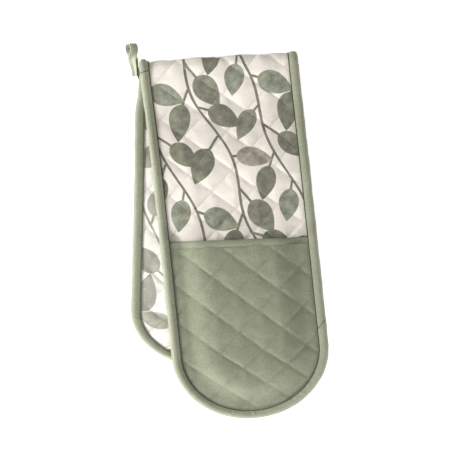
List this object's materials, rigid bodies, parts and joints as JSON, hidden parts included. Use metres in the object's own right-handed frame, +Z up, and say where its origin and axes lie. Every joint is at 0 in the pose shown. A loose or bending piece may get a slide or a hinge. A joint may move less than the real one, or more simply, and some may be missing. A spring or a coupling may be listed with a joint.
{
  "type": "double oven glove",
  "caption": "Long quilted oven glove folded in half, with a round-ended hand pocket on the outside of each end, bound edges and a hanging loop at the fold.",
  "frame": {"origin": "on the surface that the glove lies on, under the middle of the back pocket's hem", "axes": "+X along the fold towards the right, -Y from the fold towards the hands, +Z up through the folded glove"},
  "size_m": [0.2244, 0.435, 0.0458],
  "materials": {
    "print_cloth": "woven cotton with a leaf print in sage and taupe on cream, quilted",
    "print_cloth_inside": "the same print, paler, quilted",
    "pocket_cloth": "plain sage woven cotton, quilted",
    "pocket_lining_cloth": "plain sage woven cotton",
    "binding_cloth": "sage woven cotton tape",
    "wadding": "needled heat-proof wadding"
  },
  "bodies": {
    "back_half": {"back_outer_panel": "print_cloth", "back_wadding": "wadding", "back_inner_panel": "print_cloth_inside", "back_pocket_outer": "pocket_cloth", "back_pocket_wadding": "wadding", "back_pocket_lining": "pocket_lining_cloth", "back_pocket_hem": "pocket_cloth", "back_binding": "binding_cloth", "fold_outer_panel": "print_cloth", "fold_wadding": "wadding", "fold_inner_panel": "print_cloth_inside", "fold_binding_left": "binding_cloth", "fold_binding_right": "binding_cloth", "loop_tack": "binding_cloth"},
    "front_half": {"front_outer_panel": "print_cloth", "front_wadding": "wadding", "front_inner_panel": "print_cloth_inside", "front_pocket_outer": "pocket_cloth", "front_pocket_wadding": "wadding", "front_pocket_lining": "pocket_lining_cloth", "front_pocket_hem": "pocket_cloth", "front_binding": "binding_cloth"},
    "hanging_loop": {"hanging_loop": "binding_cloth"}
  },
  "joints": [
    {"name": "fold", "type": "hinge", "parent": "back_half", "child": "front_half", "pos_m": [0.0142, 0.15409, 0.0115], "axis": [-1, 0, 0], "range_deg": [0, 175], "deforming": ["fold_outer_panel", "fold_wadding", "fold_inner_panel", "fold_binding_left", "fold_binding_right"]},
    {"name": "loop_swing", "type": "hinge", "parent": "back_half", "child": "hanging_loop", "pos_m": [-0.08328, 0.13909, 0.0115], "axis": [1, 0, 0], "range_deg": [-8, 120]}
  ]
}
